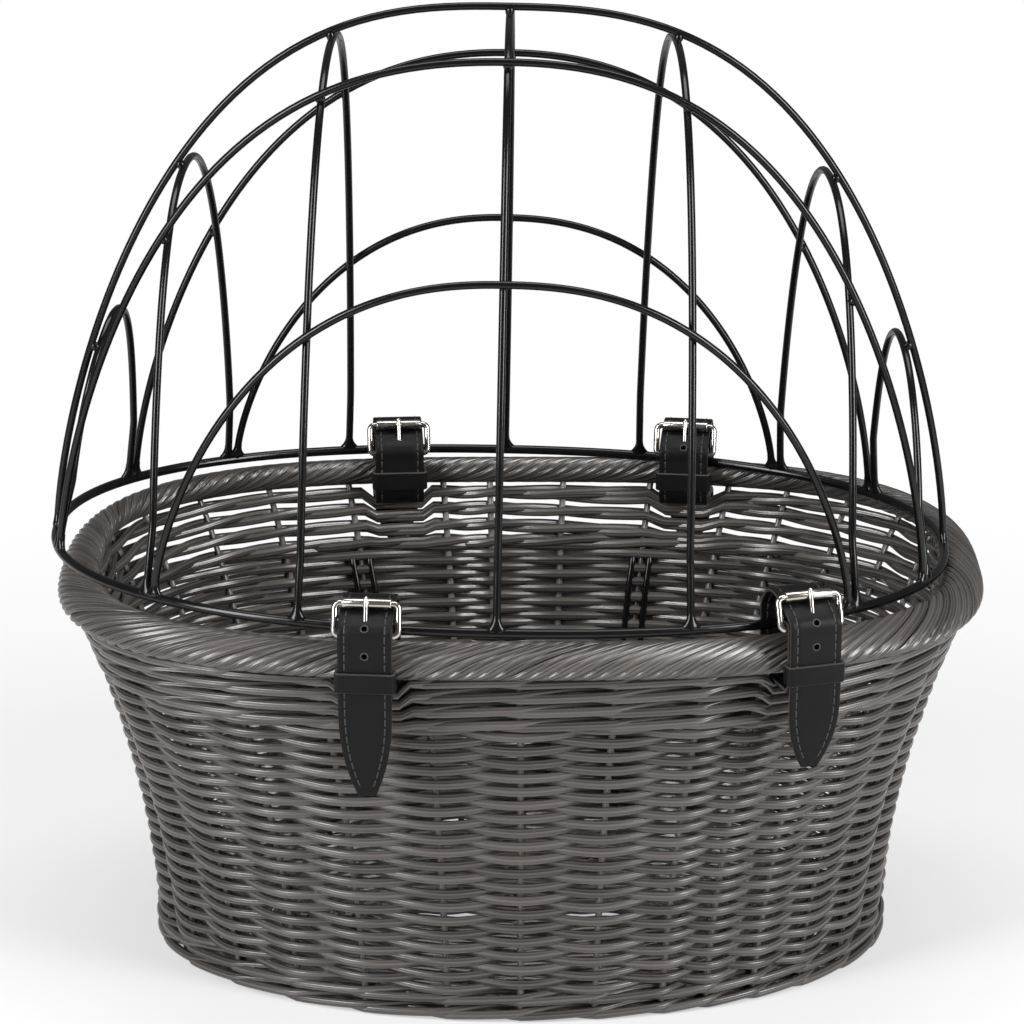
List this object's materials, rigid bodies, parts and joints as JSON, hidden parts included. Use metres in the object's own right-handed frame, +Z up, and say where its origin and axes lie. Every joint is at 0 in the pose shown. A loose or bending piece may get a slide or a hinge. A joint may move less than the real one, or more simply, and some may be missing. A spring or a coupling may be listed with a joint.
{
  "type": "handlebar bicycle basket",
  "caption": "Oval woven basket for a bicycle handlebar, with a welded wire dome over it, held by leather buckle straps, and steel rod hooks at the back.",
  "frame": {"origin": "middle of the flat underside, at the crossing of the oval's axes", "axes": "+Z up, +Y towards the bicycle and -Y the front, +X to the right when seen from the front"},
  "size_m": [0.4417, 0.3349, 0.4562],
  "materials": {
    "grey_polyrattan": "satin, lengthwise grooves",
    "grey_stake": "satin",
    "black_coated_wire": "gloss",
    "black_leather": "satin",
    "nickel_plate": "polished"
  },
  "bodies": {
    "basket": {"base_weave": "grey_polyrattan", "foot_wale": "grey_polyrattan", "side_weave": "grey_polyrattan", "upper_wale": "grey_polyrattan", "border_roll": "grey_polyrattan", "stake_crown": "grey_stake", "hanger_left": "black_coated_wire", "hanger_right": "black_coated_wire", "strap_front_left": "black_leather", "strap_front_right": "black_leather", "strap_back_left": "black_leather", "strap_back_right": "black_leather"},
    "dome": {"cage_ring": "black_coated_wire", "cage_spine_arch": "black_coated_wire", "cage_arch_front_upper": "black_coated_wire", "cage_arch_front_lower": "black_coated_wire", "cage_arch_back_upper": "black_coated_wire", "cage_arch_back_lower": "black_coated_wire", "cage_hoop_1": "black_coated_wire", "cage_hoop_2": "black_coated_wire", "cage_hoop_3": "black_coated_wire", "cage_hoop_4": "black_coated_wire", "cage_hoop_5": "black_coated_wire", "cage_hoop_6": "black_coated_wire", "cage_hoop_7": "black_coated_wire"},
    "frame_front_left": {"buckle_frame_front_left": "nickel_plate"},
    "roller_front_left": {"buckle_roller_front_left": "nickel_plate"},
    "prong_front_left": {"buckle_prong_front_left": "nickel_plate"},
    "keeper_front_left": {"keeper_front_left": "black_leather"},
    "frame_front_right": {"buckle_frame_front_right": "nickel_plate"},
    "roller_front_right": {"buckle_roller_front_right": "nickel_plate"},
    "prong_front_right": {"buckle_prong_front_right": "nickel_plate"},
    "keeper_front_right": {"keeper_front_right": "black_leather"},
    "frame_back_left": {"buckle_frame_back_left": "nickel_plate"},
    "roller_back_left": {"buckle_roller_back_left": "nickel_plate"},
    "prong_back_left": {"buckle_prong_back_left": "nickel_plate"},
    "keeper_back_left": {"keeper_back_left": "black_leather"},
    "frame_back_right": {"buckle_frame_back_right": "nickel_plate"},
    "roller_back_right": {"buckle_roller_back_right": "nickel_plate"},
    "prong_back_right": {"buckle_prong_back_right": "nickel_plate"},
    "keeper_back_right": {"keeper_back_right": "black_leather"}
  },
  "joints": [
    {"name": "dome_hinge", "type": "hinge", "parent": "basket", "child": "dome", "pos_m": [-0.0095, 0.1416, 0.19765], "axis": [-0.9998, 0, 0.0209], "range_deg": [0, 100], "deforming": ["strap_front_left", "strap_front_right", "strap_back_left", "strap_back_right"]},
    {"name": "frame_hinge_front_left", "type": "hinge", "parent": "basket", "child": "frame_front_left", "pos_m": [-0.06831, -0.15159, 0.2001], "axis": [0.9959, -0.0907, 0], "range_deg": [0, 20], "deforming": ["strap_front_left"]},
    {"name": "roller_spin_front_left", "type": "hinge", "parent": "frame_front_left", "child": "roller_front_left", "pos_m": [-0.06788, -0.14687, 0.21349], "axis": [0.9959, -0.0907, 0], "continuous": true},
    {"name": "prong_hinge_front_left", "type": "hinge", "parent": "frame_front_left", "child": "prong_front_left", "pos_m": [-0.06831, -0.15159, 0.2001], "axis": [0.9959, -0.0907, 0], "range_deg": [0, 25], "deforming": ["strap_front_left"]},
    {"name": "keeper_slide_front_left", "type": "slide", "parent": "basket", "child": "keeper_front_left", "axis": [0, 0, 1], "range_m": [0, 0.007], "deforming": ["strap_front_left"]},
    {"name": "frame_hinge_front_right", "type": "hinge", "parent": "basket", "child": "frame_front_right", "pos_m": [0.12909, -0.13995, 0.2001], "axis": [0.9512, 0.3085, 0], "range_deg": [0, 20], "deforming": ["strap_front_right"]},
    {"name": "roller_spin_front_right", "type": "hinge", "parent": "frame_front_right", "child": "roller_front_right", "pos_m": [0.12762, -0.13544, 0.21349], "axis": [0.9512, 0.3085, 0], "continuous": true},
    {"name": "prong_hinge_front_right", "type": "hinge", "parent": "frame_front_right", "child": "prong_front_right", "pos_m": [0.12909, -0.13995, 0.2001], "axis": [0.9512, 0.3085, 0], "range_deg": [0, 25], "deforming": ["strap_front_right"]},
    {"name": "keeper_slide_front_right", "type": "slide", "parent": "basket", "child": "keeper_front_right", "axis": [0, 0, 1], "range_m": [0, 0.007], "deforming": ["strap_front_right"]},
    {"name": "frame_hinge_back_left", "type": "hinge", "parent": "basket", "child": "frame_back_left", "pos_m": [-0.0609, 0.12653, 0.2001], "axis": [0.997, 0.078, 0], "range_deg": [0, 20], "deforming": ["strap_back_left"]},
    {"name": "roller_spin_back_left", "type": "hinge", "parent": "frame_back_left", "child": "roller_back_left", "pos_m": [-0.06127, 0.13126, 0.21349], "axis": [0.997, 0.078, 0], "continuous": true},
    {"name": "prong_hinge_back_left", "type": "hinge", "parent": "frame_back_left", "child": "prong_back_left", "pos_m": [-0.0609, 0.12653, 0.2001], "axis": [0.997, 0.078, 0], "range_deg": [0, 25], "deforming": ["strap_back_left"]},
    {"name": "keeper_slide_back_left", "type": "slide", "parent": "basket", "child": "keeper_back_left", "axis": [0, 0, 1], "range_m": [0, 0.003], "deforming": ["strap_back_left"]},
    {"name": "frame_hinge_back_right", "type": "hinge", "parent": "basket", "child": "frame_back_right", "pos_m": [0.08211, 0.12426, 0.2001], "axis": [0.9904, -0.138, 0], "range_deg": [0, 20], "deforming": ["strap_back_right"]},
    {"name": "roller_spin_back_right", "type": "hinge", "parent": "frame_back_right", "child": "roller_back_right", "pos_m": [0.08277, 0.12895, 0.21349], "axis": [0.9904, -0.138, 0], "continuous": true},
    {"name": "prong_hinge_back_right", "type": "hinge", "parent": "frame_back_right", "child": "prong_back_right", "pos_m": [0.08211, 0.12426, 0.2001], "axis": [0.9904, -0.138, 0], "range_deg": [0, 25], "deforming": ["strap_back_right"]},
    {"name": "keeper_slide_back_right", "type": "slide", "parent": "basket", "child": "keeper_back_right", "axis": [0, 0, 1], "range_m": [0, 0.003], "deforming": ["strap_back_right"]}
  ]
}
